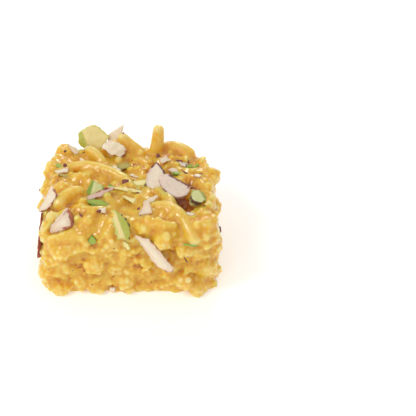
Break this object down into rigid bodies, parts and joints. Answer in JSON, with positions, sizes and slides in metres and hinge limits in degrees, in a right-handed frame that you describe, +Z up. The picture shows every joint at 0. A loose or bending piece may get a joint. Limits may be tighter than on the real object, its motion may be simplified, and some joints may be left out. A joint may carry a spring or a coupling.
{
  "type": "burfi piece",
  "caption": "Cut block of strand-textured milk fudge with a flat underside, a rough top with raised strands, and embedded nut slices.",
  "frame": {"origin": "middle of the flat underside, on the surface the piece lies on", "axes": "+X along the longer cut side, +Y towards the rear, +Z up; the cut face the picture shows looks along -Y"},
  "size_m": [0.0522, 0.0462, 0.0309],
  "materials": {
    "fudge": "moist, sugar-glazed",
    "almond": "smooth cut face",
    "almond_skin": "papery",
    "pistachio": "smooth cut face"
  },
  "bodies": {
    "root": {"burfi_block": "fudge", "almond_chunk_back": "almond", "almond_chunk_corner": "almond", "almond_flake_back": "almond", "almond_flake_left": "almond", "almond_flake_lying": "almond", "almond_flake_right": "almond", "almond_flake_upright": "almond", "almond_slice_side": "almond_skin", "almond_sliver_front": "almond", "almond_sliver_middle": "almond_skin", "almond_sliver_rear": "almond", "pistachio_chunk_back": "pistachio", "pistachio_chunk_middle": "pistachio", "pistachio_chunk_right": "pistachio", "pistachio_sliver_front": "pistachio", "pistachio_sliver_middle": "pistachio"}
  },
  "joints": []
}
